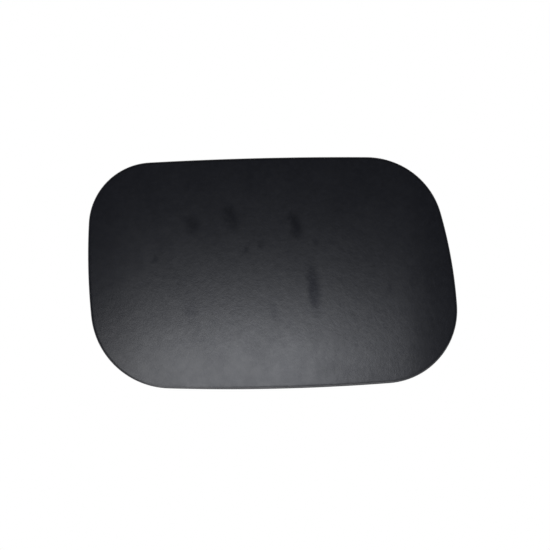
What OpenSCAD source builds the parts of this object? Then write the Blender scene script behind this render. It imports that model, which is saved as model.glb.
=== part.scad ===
// Car fuel door: a hemmed, crowned steel panel on a sprung side hinge.
// X runs along the panel away from the hinge, Y runs into the car and Z is up.
// Panel pieces are drawn about the middle of the outer face, hinge pieces about
// the hinge pin. Everything is then moved so that the origin is midway between
// the bracket's two bolt holes, on the face that seats against the car.

/* [Panel outline] */
// Length of the panel along X
panel_w = 200; // [180:1:230]
// Height of the panel along Z
panel_h = 126.2; // [112:0.1:145]
// Radius of the long bowed top edge
top_bow_r = 2370; // [900:10:3000]
// Radius of the long bowed bottom edge
bottom_bow_r = 1100; // [900:10:3000]
// Radius of the bowed edge at the hinge side
hinge_bow_r = 352; // [220:2:600]
// Radius of the bowed edge at the free side
free_bow_r = 254; // [180:2:600]
// How far below the middle the free edge stands furthest out
free_peak_drop = 30; // [0:1:40]
// How far above the middle the hinge edge stands furthest out
hinge_peak_rise = 10.5; // [0:0.5:15]
// Corner radius, upper corner at the hinge side
upper_hinge_corner_r = 34.5; // [28:0.5:48]
// Corner radius, upper corner at the free side
upper_free_corner_r = 41.5; // [28:0.5:48]
// Corner radius, lower corner at the free side
lower_free_corner_r = 40; // [28:0.5:48]
// Corner radius, lower corner at the hinge side
lower_hinge_corner_r = 44; // [28:0.5:48]

/* [Skin and hem] */
// Sheet thickness of the outer skin
skin_t = 0.8; // [0.6:0.05:1.2]
// Radius of the skin's crown along its length
crown_long_r = 1800; // [1200:50:4000]
// Radius of the skin's crown over its height
crown_high_r = 900; // [600:50:3000]
// Distance from either end of the panel where its crown gets rounder
end_zone = 30; // [20:1:40]
// Radius that is added to the crown there
end_crown_r = 420; // [300:10:900]
// Width of the folded hem, from the edge of the panel
hem_w = 9; // [6:0.5:9.5]
// Play between the clamped inner sheet and each face of the hem
hem_play = 0.1; // [0.05:0.01:0.2]

/* [Inner panel] */
// Sheet thickness of the inner panel
inner_t = 0.8; // [0.6:0.05:1.2]
// Depth of the flat pan's front face behind the crown's top
pan_depth = 7.2; // [6.5:0.1:9]
// Inset from the edge where the pan's side begins
ramp_start = 10; // [10:0.5:12]
// Inset from the edge where the flat pan begins
ramp_end = 17; // [15:0.5:20]
// Length of the two stiffening beads, between their end centres
bead_len = 62; // [40:1:80]
// Width of a bead at its foot
bead_w = 10; // [8:0.5:14]
// Height of a bead above the pan
bead_h = 3; // [1.5:0.1:4]
// Height of the beads above and below the middle
bead_z = 32; // [29:0.5:35]
// Where the middle of the beads lies along X
bead_x = 2; // [-10:1:15]
// Radius of the drain holes
drain_r = 4; // [2:0.5:5]
// Distance of the drain holes from the middle, along X
drain_x = -28; // [-32:1:-24]

/* [Hinge] */
// Distance of the pin from the hinge edge of the panel
pivot_in = 15; // [14:0.5:18]
// Depth of the pin behind the crown's top
pivot_depth = 18; // [17:0.5:22]
// Angle that the door swings, from shut to its stop
swing = 90; // [70:1:100]
// Radius of the hinge pin
pin_r = 2.5; // [2:0.1:3]
// Running clearance of the pin in its bushes, on the radius
pin_play = 0.05; // [0.02:0.01:0.1]
// Radius of the pin's head
pin_head_r = 4.5; // [4:0.1:4.6]
// Height of the pin's head
pin_head_h = 1.8; // [1:0.1:2.4]
// Thickness of the clip on the pin's lower end
clip_t = 0.8; // [0.6:0.1:1]
// Outer radius of the clip
clip_r = 4.6; // [4:0.1:6]

/* [Hinge arm] */
// Sheet thickness of the arm
arm_t = 1.6; // [1.2:0.1:2]
// Reach of the arm along the panel, from the pin
arm_reach = 44; // [38:1:52]
// Radius of the arm's round ears
ear_r = 7; // [6:0.1:7.5]
// Height of the arm's low side flanges, with the web
arm_flange = 5; // [4:0.5:7]
// Bend radius inside the arm's folds
arm_bend_r = 1.4; // [1:0.1:2]
// Reach of the arm past the pin, towards the hinge edge
arm_heel = 6; // [4:0.5:6.5]
// Radius of the rivets' shanks
rivet_r = 2; // [1.6:0.1:2.4]
// Distance of the first pair of rivets from the pin
rivet_near = 20; // [19:0.5:24]
// Distance of the second pair of rivets from the pin
rivet_far = 37; // [33:0.5:38]
// Height of the rivets above and below the middle
rivet_z = 10; // [8:0.5:12]

/* [Hinge bracket] */
// Sheet thickness of the bracket
bracket_t = 2; // [1.6:0.1:2.5]
// Clear width between the bracket's ears
ear_gap = 28; // [22:1:34]
// Bend radius inside the bracket's folds
bracket_bend_r = 1.5; // [1:0.1:2]
// Depth of the bracket's seating face behind the pin
seat_depth = 28; // [27:0.5:36]
// Distance of the two bolt holes behind the pin, along X
bolt_x = 28; // [27:0.5:34]
// Spacing of the two bolt holes along Z
bolt_spacing = 42; // [38:1:60]
// Radius of the bolt holes
bolt_hole_r = 3.3; // [2.7:0.1:4.3]
// Gap that is left to the stop when the door is fully open
stop_gap = 0.3; // [0.2:0.1:0.6]

/* [Bushes] */
// Outer radius of a bush in the bracket's ear
bush_r = 3.5; // [3.3:0.1:4.2]
// Radius of a bush's flange
bush_flange_r = 5.5; // [5:0.1:6]
// Thickness of a bush's flange
bush_flange_t = 1.3; // [0.8:0.1:2]
// Side play between a bush's flange and the arm
side_play = 0.2; // [0.1:0.05:0.4]

/* [Toggle spring] */
// Diameter of the spring wire
wire_d = 1.6; // [1.2:0.1:1.8]
// Distance of the spring's fixed end from the pin
anchor_depth = 20; // [18:0.5:22]
// Distance of the spring's moving end from the pin
crank_r = 10; // [9:0.5:11]
// Middle radius of the spring's loop
loop_r = 4.5; // [3.5:0.1:5]
// Distance from either end of the spring to the middle of its loop
loop_reach = 15; // [14.5:0.1:16]

/* [Catch] */
// Sheet thickness of the catch
catch_t = 2; // [1.5:0.1:2.5]
// Distance of the catch's upright from the free edge of the panel
catch_in = 23; // [22:0.5:28]
// Width of the catch along Z
catch_w = 24; // [20:1:30]
// Height of the catch above the pan
catch_h = 18; // [16:0.5:24]
// Length of the catch's foot
catch_foot = 18; // [16:0.5:24]
// Bend radius inside the catch
catch_bend_r = 2; // [1:0.1:3]
// Width of the latch window along Z
window_w = 12; // [8:0.5:14]
// Height of the latch window
window_h = 6; // [5:0.1:7]

/* [Bumpers] */
// Radius of a bumper
bumper_r = 6; // [4:0.5:6.5]
// Height of a bumper above the pan
bumper_h = 7; // [4:0.5:10]
// Radius of a bumper's neck
bumper_neck_r = 3; // [2:0.1:3.5]
// Distance of the bumpers from the free edge of the panel
bumper_in = 36; // [36:0.5:42]
// Distance of the bumpers from the top and bottom edges
bumper_down = 28.5; // [28:0.5:33]

/* [Cap holder] */
// Clear width of the slot for the filler cap's stem
slot_w = 14; // [12:0.5:18]
// Wall thickness of the holder
holder_wall = 2.5; // [1.5:0.1:3]
// Depth of the holder above the pan
holder_h = 14.5; // [12:0.5:18]
// How far the front lips reach over the slot
lip = 3; // [2:0.1:4]
// Length of the slot above its round end
slot_len = 18; // [14:0.5:22]
// Where the holder stands along X, from the panel's middle
holder_x = 17; // [10:1:22]
// Radius of the holder's two push-in clips
clip_shank_r = 2.4; // [2:0.1:2.8]

/* [Hidden] */
$fn = 48;

coated_steel = "#1c1d21";
bright_steel = "#b7bbc0";
spring_steel = "#4a4d52";
nylon = "#e4e0d2";
rubber = "#131313";
moulded = "#2c2e32";

// Cuts reach this far past a face, so that they go clean through
past = 1;
// Play of a rivet, stem or clip in its hole, on the radius
fit_play = 0.05;

// The four bowed sides, clockwise from the top: centre x, centre z, radius
sides = [
    [0, panel_h / 2 - top_bow_r, top_bow_r],
    [panel_w / 2 - free_bow_r, -free_peak_drop, free_bow_r],
    [0, bottom_bow_r - panel_h / 2, bottom_bow_r],
    [hinge_bow_r - panel_w / 2, hinge_peak_rise, hinge_bow_r]];
// The corner that follows each side
corner_rs = [upper_free_corner_r, lower_free_corner_r, lower_hinge_corner_r,
    upper_hinge_corner_r];
side_steps = 6;
corner_steps = 12;

function toward(a, b) = atan2(b[1] - a[1], b[0] - a[0]);
function under(angle, limit) = angle > limit ? under(angle - 360, limit) : angle;

// Centre of a corner arc of radius r that runs smoothly into sides a and b
function corner_centre(a, b, r) =
    let (
        from_a = a[2] - r,
        from_b = b[2] - r,
        line = [b[0] - a[0], b[1] - a[1]],
        apart = norm(line),
        along = (from_a * from_a - from_b * from_b + apart * apart) / (2 * apart),
        across = sqrt(from_a * from_a - along * along),
        u = line / apart)
    [a[0] + u[0] * along + u[1] * across, a[1] + u[1] * along - u[0] * across];
corners = [for (k = [0:3]) corner_centre(sides[k], sides[(k + 1) % 4], corner_rs[k])];

// Outline stations, clockwise seen from outside: centre x, centre z, radius, angle.
// An inset only shortens the radii, so every ring keeps smooth tangents.
function side_stations(k) =
    let (
        from = toward(sides[k], corners[(k + 3) % 4]),
        to = under(toward(sides[k], corners[k]), from))
    [for (i = [0:side_steps - 1])
        [sides[k][0], sides[k][1], sides[k][2], from + (to - from) * i / side_steps]];
function corner_stations(k) =
    let (
        from = toward(sides[k], corners[k]),
        to = under(toward(sides[(k + 1) % 4], corners[k]), from))
    [for (i = [0:corner_steps - 1])
        [corners[k][0], corners[k][1], corner_rs[k], from + (to - from) * i / corner_steps]];
stations = [for (k = [0:3]) each concat(side_stations(k), corner_stations(k))];

function at(station, inset) = [
    station[0] + (station[2] - inset) * cos(station[3]),
    station[1] + (station[2] - inset) * sin(station[3])];
// Depth of the outer face: a double crown that gets rounder towards both ends
function crown(p) =
    let (in_end = max(abs(p[0]) - panel_w / 2 + end_zone, 0))
    p[0] * p[0] / (2 * crown_long_r) + p[1] * p[1] / (2 * crown_high_r)
        + in_end * in_end / (2 * end_crown_r);

// One ring that follows the crown, inset from the edge, shrunk about the middle
// and lowered below the outer face
function skin_ring(inset, shrink, down) = [
    for (s = stations) let (p = at(s, inset) * shrink) [p[0], crown(p) + down, p[1]]];

hem_gap = inner_t + 2 * hem_play;
fold_in_r = hem_gap / 2;
fold_out_r = fold_in_r + skin_t;
hem_total = 2 * fold_out_r;
fold_steps = 6;
// Rings of the broad face: inset from the edge, then share of that ring
field = [[28, 0.33], [28, 0.67], [28, 1], [21, 1], [15, 1], [hem_w, 1]];

// A ring on the hem's fold, of radius r about the fold's own centre line
function fold_ring(r, turn) = skin_ring(fold_out_r - r * sin(turn), 1, fold_out_r - r * cos(turn));

skin_rings = concat(
    [for (f = field) skin_ring(f[0], f[1], 0)],
    [for (i = [0:fold_steps]) fold_ring(fold_out_r, 180 * i / fold_steps)],
    [skin_ring(hem_w, 1, hem_total), skin_ring(hem_w, 1, hem_total - skin_t)],
    [for (i = [fold_steps - 2:-1:0]) fold_ring(fold_in_r, 180 * i / (fold_steps - 2))],
    [for (i = [len(field) - 1:-1:0]) skin_ring(field[i][0], field[i][1], skin_t)]);

flange_down = skin_t + hem_play;
edge_inset = fold_out_r + 0.3;
pan_back = pan_depth + inner_t;
ramp_steps = 6;
insets = concat(
    [for (i = [0:ramp_steps]) ramp_end - (ramp_end - ramp_start) * i / ramp_steps],
    [(ramp_start + edge_inset) / 2, edge_inset]);

function ease(t) = let (u = min(max(t, 0), 1)) u * u * (3 - 2 * u);
// Depth of the pressed sheet's front face: crowned flange, eased side, flat pan
function press_y(station, inset) =
    let (
        flange = crown(at(station, inset)) + flange_down,
        share = ease((inset - ramp_start) / (ramp_end - ramp_start)))
    flange + (pan_depth - flange) * share;
function slope(station, inset) = inset >= ramp_end ? 0
    : (press_y(station, inset + 0.05) - press_y(station, inset - 0.05)) / 0.1;
// A point of the sheet, moved square to the front face by the depth given
function press_point(station, inset, thick) =
    let (
        m = slope(station, inset),
        k = thick / sqrt(1 + m * m),
        p = at(station, inset - m * k))
    [p[0], press_y(station, inset) + k, p[1]];
press_rings = concat(
    [for (d = insets) [for (s = stations) press_point(s, d, 0)]],
    [for (i = [len(insets) - 1:-1:0]) [for (s = stations) press_point(s, insets[i], inner_t)]]);

bead_top_w = bead_w / 2;
bead_lean = (bead_w - bead_top_w) / 2 / bead_h;
// Half of the sheet's bend at a bead's foot narrows the hollow by this much
bead_thin = inner_t * tan(atan(1 / bead_lean) / 2);

pivot_x = pivot_in - panel_w / 2;
// Depths relative to the pin
web_front = pan_back - pivot_depth;
web_back = web_front + arm_t;
stop_x = -web_back - stop_gap;
ear_out_z = ear_gap / 2 + bracket_t;
arm_in_z = ear_out_z + bush_flange_t + side_play;
arm_out_z = arm_in_z + arm_t;
arm_rise = ear_r - web_front;
flange_y = web_front + arm_flange;
arm_slope_end = 24;
press_play = 0.02;

bracket_heel = 10;
bracket_toe = 14;
base_front = seat_depth - bracket_t;
wing_start = bolt_x - 9;
wing_end = bolt_x + 9;
wing_half = bolt_spacing / 2 + 9;
wing_corner_r = 5;
bend_out_r = bracket_bend_r + bracket_t;

groove_r = pin_r - 0.6;
groove_top = -arm_out_z - side_play;
groove_low = groove_top - clip_t - 0.1;
pin_end = groove_low - 1.4;
pin_chamfer = 0.4;

wire_r = wire_d / 2;
wire_hole_r = wire_r + 0.2;
crank_angle = 90 + swing / 2;
crank_x = crank_r * cos(crank_angle);
crank_y = crank_r * sin(crank_angle);
lug_r = wire_hole_r + 2.2;
low_leg_z = arm_out_z + wire_r + 0.3;
high_leg_z = low_leg_z + wire_d + 0.1;
wire_bend_r = wire_d;
loop_steps = 20;
bend_steps = 4;
wire_sides = 8;

catch_x = panel_w / 2 - catch_in;
catch_top = pan_back + catch_h;
window_mid = catch_top - 3 - window_h / 2;
catch_rivet_z = catch_w / 4;
catch_rivet_r = 1.75;

bumper_x = panel_w / 2 - bumper_in;
bumper_z = panel_h / 2 - bumper_down;

holder_out_r = slot_w / 2 + holder_wall;
holder_z = -5;
holder_foot = pan_back + holder_wall;
tab_r = 6;
tab_x = holder_out_r + tab_r;

function unit(v) = v / norm(v);
function tangent(path, i) = unit(path[min(i + 1, len(path) - 1)] - path[max(i - 1, 0)]);
function squared(n, t) = unit(n - (n * t) * t);
// Normals carried along a path without twist
function normals(path) = [
    for (i = 0, n = squared([1, 0.2, 0], tangent(path, 0)); i < len(path);
        n = i + 1 < len(path) ? squared(n, tangent(path, i + 1)) : n, i = i + 1) n];
function tube_rings(path, r, count) =
    let (ns = normals(path))
    [for (i = [0:len(path) - 1])
        let (b = cross(tangent(path, i), ns[i]))
        [for (k = [0:count - 1])
            path[i] + r * (cos(360 * k / count) * ns[i] + sin(360 * k / count) * b)]];

// Rings joined in order into a closed skin, with a point at each end
module loft(rings, first, last) {
    n = len(rings);
    m = len(rings[0]);
    end = n * m + 1;
    polyhedron(
        points = concat([first], [for (r = rings) each r], [last]),
        faces = concat(
            [for (j = [0:m - 1]) [0, 1 + j, 1 + (j + 1) % m]],
            [for (i = [0:n - 2], j = [0:m - 1])
                [1 + i * m + j, 1 + (i + 1) * m + j, 1 + (i + 1) * m + (j + 1) % m]],
            [for (i = [0:n - 2], j = [0:m - 1])
                [1 + i * m + j, 1 + (i + 1) * m + (j + 1) % m, 1 + i * m + (j + 1) % m]],
            [for (j = [0:m - 1]) [end, end - m + (j + 1) % m, end - m + j]]),
        convexity = 6);
}

// From panel coordinates to the part's own frame
module placed() {
    translate([-pivot_x - bolt_x, -pivot_depth - seat_depth, 0]) children();
}

// From coordinates about the pin to panel coordinates
module at_pin() {
    translate([pivot_x, pivot_depth, 0]) children();
}

// A flat drawing in X and Z, thickened along Y
module plate(y0, y1) {
    translate([0, y1, 0]) rotate([90, 0, 0]) linear_extrude(height = y1 - y0) children();
}

// A flat drawing in X and Y, thickened along Z
module slab(z0, z1) {
    translate([0, 0, z0]) linear_extrude(height = z1 - z0) children();
}

// A drawing in Y and Z, drawn out along X
module drawn(x0, x1) {
    translate([x0, 0, 0]) rotate([90, 0, 90]) linear_extrude(height = x1 - x0) children();
}

// Turned pieces and holes stand along Y
module along_y(x, y, z) {
    translate([x, y, z]) rotate([-90, 0, 0]) children();
}

module hole_y(x, z, r, y0, y1) {
    along_y(x, y0, z) cylinder(r = r, h = y1 - y0);
}

// Section of a trough: base at zero, walls up the first axis
module trough(half, rise, r) {
    translate([r, -half]) square([rise - r, 2 * half]);
    translate([0, r - half]) square([rise, 2 * (half - r)]);
    for (side = [-1, 1]) translate([r, side * (half - r)]) circle(r = r);
}

module channel(half, t, rise, bend_r) {
    difference() {
        trough(half, rise, bend_r + t);
        translate([t, 0]) trough(half - t, rise, bend_r);
    }
}

module rounded(x0, x1, half, r) {
    translate([x0, r - half]) square([x1 - x0, 2 * (half - r)]);
    translate([x0 + r, -half]) square([x1 - x0 - 2 * r, 2 * half]);
    for (x = [x0 + r, x1 - r], side = [-1, 1]) translate([x, side * (half - r)]) circle(r = r);
}

module outer_panel() {
    color(coated_steel) placed() loft(skin_rings, [0, 0, 0], [0, skin_t, 0]);
}

// A pressed bead: sloping sides, round ends
module bead(z, y0, y1, foot_r, lean) {
    top_r = foot_r - lean * (y1 - y0);
    ends = [bead_x - bead_len / 2, bead_x + bead_len / 2];
    for (x = ends) along_y(x, y0, z) cylinder(r1 = foot_r, r2 = top_r, h = y1 - y0);
    drawn(ends[0], ends[1])
        polygon([[y0, z - foot_r], [y1, z - top_r], [y1, z + top_r], [y0, z + foot_r]]);
}

module inner_panel() {
    mid = pan_depth + inner_t / 2;
    half = bead_w / 2;
    back = pan_back + past;
    front = pan_depth - past;
    color(coated_steel) placed() difference() {
        union() {
            loft(press_rings, [0, pan_depth, 0], [0, pan_back, 0]);
            for (z = [-bead_z, bead_z])
                bead(z, mid, pan_back + bead_h, half + bead_lean * inner_t / 2, bead_lean);
        }
        for (z = [-bead_z, bead_z])
            bead(z, front, pan_depth + bead_h, half - bead_thin + bead_lean * past, bead_lean);
        for (x = [rivet_near, rivet_far], z = [-rivet_z, rivet_z])
            hole_y(pivot_x + x, z, rivet_r + fit_play, front, back);
        for (z = [-catch_rivet_z, catch_rivet_z])
            hole_y(catch_rivet_x, z, catch_rivet_r + fit_play, front, back);
        for (z = [-bumper_z, bumper_z])
            hole_y(bumper_x, z, bumper_neck_r + fit_play, front, back);
        for (x = [-tab_x, tab_x])
            hole_y(holder_x + x, holder_z, clip_shank_r + fit_play, front, back);
        for (z = [-drain_z, 0, drain_z])
            hole_y(drain_x, z, drain_r, front, back);
    }
}
catch_rivet_x = catch_x - catch_foot + catch_foot / 3;
drain_z = 15;

// Side view of the arm: round ear at the pin, sloping down to the low flange
module arm_side() {
    reach = norm([arm_slope_end, flange_y]);
    touch = atan2(flange_y, arm_slope_end) + acos(ear_r / reach);
    circle(r = ear_r);
    polygon([[-arm_heel, web_front], [-ear_r, 0], [ear_r * cos(touch), ear_r * sin(touch)],
        [arm_slope_end, flange_y], [arm_reach - 6, flange_y], [arm_reach, web_back],
        [arm_reach, web_front]]);
}

module hinge_arm() {
    color(coated_steel) placed() at_pin() difference() {
        union() {
            intersection() {
                drawn(-ear_r, arm_reach)
                    translate([web_front, 0]) channel(arm_out_z, arm_t, arm_rise, arm_bend_r);
                slab(-arm_out_z, arm_out_z) arm_side();
                plate(web_front - past, ear_r + past)
                    rounded(-ear_r - 8, arm_reach, arm_out_z, 7);
            }
            slab(arm_in_z, arm_out_z) spring_lug();
        }
        slab(-arm_out_z - past, arm_out_z + past) circle(r = pin_r + press_play);
        slab(arm_in_z - past, arm_out_z + past)
            translate([crank_x, crank_y]) circle(r = wire_hole_r);
        for (x = [rivet_near, rivet_far], z = [-rivet_z, rivet_z])
            hole_y(x, z, rivet_r + fit_play, web_front - past, web_back + past);
        hole_y((rivet_near + rivet_far) / 2, 0, 5, web_front - past, web_back + past);
    }
}

// The lug that carries the spring's moving end
module spring_lug() {
    translate([crank_x, crank_y]) circle(r = lug_r);
    rotate(crank_angle) translate([0, -lug_r]) square([crank_r, 2 * lug_r]);
}

// A riveted head: a low dome that stands on zero
module dome(r, h) {
    ball = (r * r + h * h) / (2 * h);
    intersection() {
        translate([0, h - ball]) circle(r = ball);
        square([r, h]);
    }
}

// A solid rivet through a stack of sheet from y0 to y1
module rivet(x, z, r, y0, y1) {
    head_r = 1.75 * r;
    head_h = 0.6 * r;
    along_y(x, y0, z) rotate_extrude() {
        translate([0, -head_h]) square([head_r, head_h]);
        translate([0, -head_h]) square([r, y1 - y0 + head_h + head_h / 2]);
        translate([0, y1 - y0]) dome(head_r, head_h);
    }
}

module arm_rivet(i) {
    x = [rivet_near, rivet_far][i % 2];
    z = [rivet_z, -rivet_z][floor(i / 2)];
    color(bright_steel) placed() rivet(pivot_x + x, z, rivet_r, pan_depth, pan_back + arm_t);
}

// Side view of the bracket's ears, with the shoulder that stops the door
module bracket_side() {
    circle(r = ear_r);
    polygon([[-stop_x, -1], [-stop_x, 8], [-bracket_heel, base_front - 2],
        [-bracket_heel, seat_depth], [bracket_toe, seat_depth], [bracket_toe, base_front - 2],
        [ear_r, 8], [ear_r, 0]]);
}

module hinge_bracket() {
    color(coated_steel) placed() at_pin() difference() {
        union() {
            intersection() {
                drawn(-bracket_heel, bracket_toe) translate([seat_depth, 0]) mirror([1, 0])
                    channel(ear_out_z, bracket_t, seat_depth + ear_r, bracket_bend_r);
                slab(-ear_out_z, ear_out_z) bracket_side();
            }
            plate(base_front, seat_depth) {
                translate([0, bend_out_r - ear_out_z])
                    square([wing_start + wing_corner_r, 2 * (ear_out_z - bend_out_r)]);
                rounded(wing_start, wing_end, wing_half, wing_corner_r);
            }
        }
        slab(-ear_out_z - past, ear_out_z + past) circle(r = bush_r + press_play);
        slab(ear_gap / 2 - past, ear_out_z + past)
            translate([0, anchor_depth]) circle(r = wire_hole_r);
        for (z = [-bolt_spacing / 2, bolt_spacing / 2])
            hole_y(bolt_x, z, bolt_hole_r, base_front - past, seat_depth + past);
    }
}

module bush() {
    difference() {
        union() {
            slab(ear_gap / 2, ear_out_z) circle(r = bush_r);
            slab(ear_out_z, ear_out_z + bush_flange_t) circle(r = bush_flange_r);
        }
        slab(0, ear_out_z + bush_flange_t + past) circle(r = pin_r + pin_play);
    }
}

module bush_upper() {
    color(nylon) placed() at_pin() bush();
}

module bush_lower() {
    color(nylon) placed() at_pin() mirror([0, 0, 1]) bush();
}

module hinge_pin() {
    head_top = arm_out_z + pin_head_h;
    color(bright_steel) placed() at_pin() rotate_extrude() polygon([
        [0, pin_end], [pin_r - pin_chamfer, pin_end], [pin_r, pin_end + pin_chamfer],
        [pin_r, groove_low], [groove_r, groove_low], [groove_r, groove_top],
        [pin_r, groove_top], [pin_r, arm_out_z], [pin_head_r, arm_out_z],
        [pin_head_r, head_top - pin_chamfer], [pin_head_r - pin_chamfer, head_top],
        [0, head_top]]);
}

// A spring clip with an open mouth, sprung into the pin's groove
module pin_clip() {
    color(bright_steel) placed() at_pin()
        slab(groove_top - clip_t - 0.05, groove_top - 0.05) difference() {
            circle(r = clip_r);
            circle(r = groove_r + press_play);
            translate([0, -groove_r * 0.8]) square([clip_r, 1.6 * groove_r]);
            for (turn = [125, 235]) rotate(turn) translate([groove_r + 0.5, 0]) circle(r = 0.7);
        }
}

// Ends and loop of the spring's wire, seen along the pin
anchor = [0, anchor_depth];
crank = [crank_x, crank_y];
span = crank - anchor;
loop_off = sqrt(loop_reach * loop_reach - span * span / 4);
loop_at = (anchor + crank) / 2 + loop_off * [-span[1], span[0]] / norm(span);
leg_fan = asin(loop_r / loop_reach);
low_leg_turn = toward(anchor, loop_at) - leg_fan;
high_leg_turn = toward(crank, loop_at) + leg_fan;
loop_from = low_leg_turn - 90;
loop_to = loop_from - under(loop_from - (high_leg_turn + 90), 0);

function aim(turn) = [cos(turn), sin(turn)];
// A hook: down through its sheet, then bent over into the leg
function hook(p, turn, tip_z, leg_z) = concat(
    [[p[0], p[1], tip_z], [p[0], p[1], (tip_z + leg_z) / 2]],
    [for (i = [0:bend_steps])
        let (a = 90 * i / bend_steps, q = p + aim(turn) * wire_bend_r * (1 - cos(a)))
        [q[0], q[1], leg_z - wire_bend_r * (1 - sin(a))]]);
spring_path = concat(
    hook(anchor, low_leg_turn, ear_gap / 2 - 0.6, low_leg_z),
    [for (i = [0:loop_steps])
        let (
            share = i / loop_steps,
            q = loop_at + loop_r * aim(loop_from + (loop_to - loop_from) * share))
        [q[0], q[1], low_leg_z + (high_leg_z - low_leg_z) * share]],
    reversed(hook(crank, high_leg_turn, arm_in_z - 0.6, high_leg_z)));
function reversed(list) = [for (i = [len(list) - 1:-1:0]) list[i]];

module toggle_spring() {
    last = len(spring_path) - 1;
    color(spring_steel) placed() at_pin()
        loft(tube_rings(spring_path, wire_r, wire_sides), spring_path[0], spring_path[last]);
}

// Side view of the catch: foot, bend and upright
module catch_side() {
    bend_out = catch_bend_r + catch_t;
    translate([catch_x - catch_foot, pan_back]) square([catch_foot - bend_out, catch_t]);
    translate([catch_x - catch_t, pan_back + bend_out]) square([catch_t, catch_h - bend_out]);
    translate([catch_x - bend_out, pan_back + bend_out]) intersection() {
        difference() {
            circle(r = bend_out);
            circle(r = catch_bend_r);
        }
        translate([0, -bend_out]) square(bend_out);
    }
}

module catch_plate() {
    corner = 5;
    color(coated_steel) placed() difference() {
        intersection() {
            slab(-catch_w / 2, catch_w / 2) catch_side();
            drawn(catch_x - catch_foot, catch_x)
                translate([pan_back - catch_h, 0])
                    rounded(0, 2 * catch_h, catch_w / 2, corner);
            plate(pan_back - past, catch_top + past)
                rounded(catch_x - catch_foot, catch_x + catch_foot, catch_w / 2, corner);
        }
        for (z = [-catch_rivet_z, catch_rivet_z])
            hole_y(catch_rivet_x, z, catch_rivet_r + fit_play, pan_back - past,
                pan_back + catch_t + past);
        drawn(catch_x - catch_t - past, catch_x + past)
            translate([window_mid - window_h / 2, 0]) rounded(0, window_h, window_w / 2, 1);
    }
}

module catch_rivet(side) {
    color(bright_steel) placed()
        rivet(catch_rivet_x, side * catch_rivet_z, catch_rivet_r, pan_depth, pan_back + catch_t);
}

// Rubber bumper: soft head on the pan, neck through it and a bulb behind
module bumper(side) {
    edge = 2;
    bulb_r = bumper_neck_r + 1.2;
    bulb_h = 2.6;
    color(rubber) placed() along_y(bumper_x, pan_back, side * bumper_z) rotate_extrude() {
        square([bumper_r, bumper_h - edge]);
        square([bumper_r - edge, bumper_h]);
        translate([bumper_r - edge, bumper_h - edge]) intersection() {
            circle(r = edge);
            square(edge);
        }
        translate([0, -inner_t - bulb_h]) square([bumper_neck_r, inner_t + bulb_h]);
        translate([0, -inner_t - bulb_h])
            polygon([[0, 0], [bumper_neck_r - 1, 0], [bulb_r, bulb_h - 1], [bulb_r, bulb_h],
                [0, bulb_h]]);
    }
}

// Outline of the holder's slot, round at the bottom and open at the top
module slot(r, extra) {
    translate([holder_x, holder_z]) {
        circle(r = r);
        translate([-r, 0]) square([2 * r, slot_len + extra]);
    }
}

module cap_holder() {
    top = pan_back + holder_h;
    color(moulded) placed() difference() {
        union() {
            plate(pan_back, holder_foot) {
                slot(holder_out_r, 0);
                translate([holder_x - tab_x, holder_z - tab_r]) square([2 * tab_x, 2 * tab_r]);
                for (x = [-tab_x, tab_x]) translate([holder_x + x, holder_z]) circle(r = tab_r);
            }
            plate(holder_foot, top) difference() {
                slot(holder_out_r, 0);
                slot(slot_w / 2, past);
            }
            plate(top - holder_wall, top) difference() {
                slot(holder_out_r, 0);
                slot(slot_w / 2 - lip, past);
            }
        }
        for (x = [-tab_x, tab_x])
            hole_y(holder_x + x, holder_z, clip_shank_r + fit_play, pan_back - past,
                holder_foot + past);
    }
}

// Push-in clip: flat head, shank through holder and pan, barbed nose
module holder_clip(side) {
    head_r = 2 * clip_shank_r;
    head_h = 1.4;
    stack = holder_wall + inner_t;
    barb_r = clip_shank_r + 0.6;
    color(moulded) placed() along_y(holder_x + side * tab_x, pan_depth, holder_z)
        rotate_extrude() polygon([[0, -4], [clip_shank_r / 2, -4], [barb_r, -1.2], [barb_r, -0.4],
            [clip_shank_r, 0], [clip_shank_r, stack], [head_r, stack],
            [head_r, stack + head_h / 2], [head_r - 0.7, stack + head_h], [0, stack + head_h]]);
}

outer_panel();
inner_panel();
hinge_arm();
arm_rivet(0);  // arm_rivet_1
arm_rivet(1);  // arm_rivet_2
arm_rivet(2);  // arm_rivet_3
arm_rivet(3);  // arm_rivet_4
hinge_bracket();
bush_upper();
bush_lower();
hinge_pin();
pin_clip();
toggle_spring();
catch_plate();
catch_rivet(1);  // catch_rivet_1
catch_rivet(-1);  // catch_rivet_2
bumper(1);  // bumper_upper
bumper(-1);  // bumper_lower
cap_holder();
holder_clip(-1);  // holder_clip_1
holder_clip(1);  // holder_clip_2
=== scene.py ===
import bpy
import bmesh
import math
from mathutils import Matrix, Vector


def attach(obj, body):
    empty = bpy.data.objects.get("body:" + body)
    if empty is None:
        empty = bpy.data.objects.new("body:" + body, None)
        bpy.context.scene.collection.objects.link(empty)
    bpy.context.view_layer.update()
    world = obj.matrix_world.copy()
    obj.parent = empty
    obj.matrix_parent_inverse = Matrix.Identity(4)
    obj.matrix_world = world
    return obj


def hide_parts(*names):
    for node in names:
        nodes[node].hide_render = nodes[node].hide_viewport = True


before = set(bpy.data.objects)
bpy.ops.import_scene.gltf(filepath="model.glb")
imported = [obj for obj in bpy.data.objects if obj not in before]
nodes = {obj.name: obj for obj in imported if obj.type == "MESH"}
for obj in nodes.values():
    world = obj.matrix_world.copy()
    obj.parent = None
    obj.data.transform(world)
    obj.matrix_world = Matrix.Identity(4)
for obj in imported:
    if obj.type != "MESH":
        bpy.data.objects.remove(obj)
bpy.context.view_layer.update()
mm = 0.001
panelMiddle = Vector((57, -46, 0))  # middle of the outer face in the part's frame, mm
pinAxis = Vector((-28, -28, 0))  # the hinge pin, mm
print("frame loaded with", len(nodes), "solids")


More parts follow.
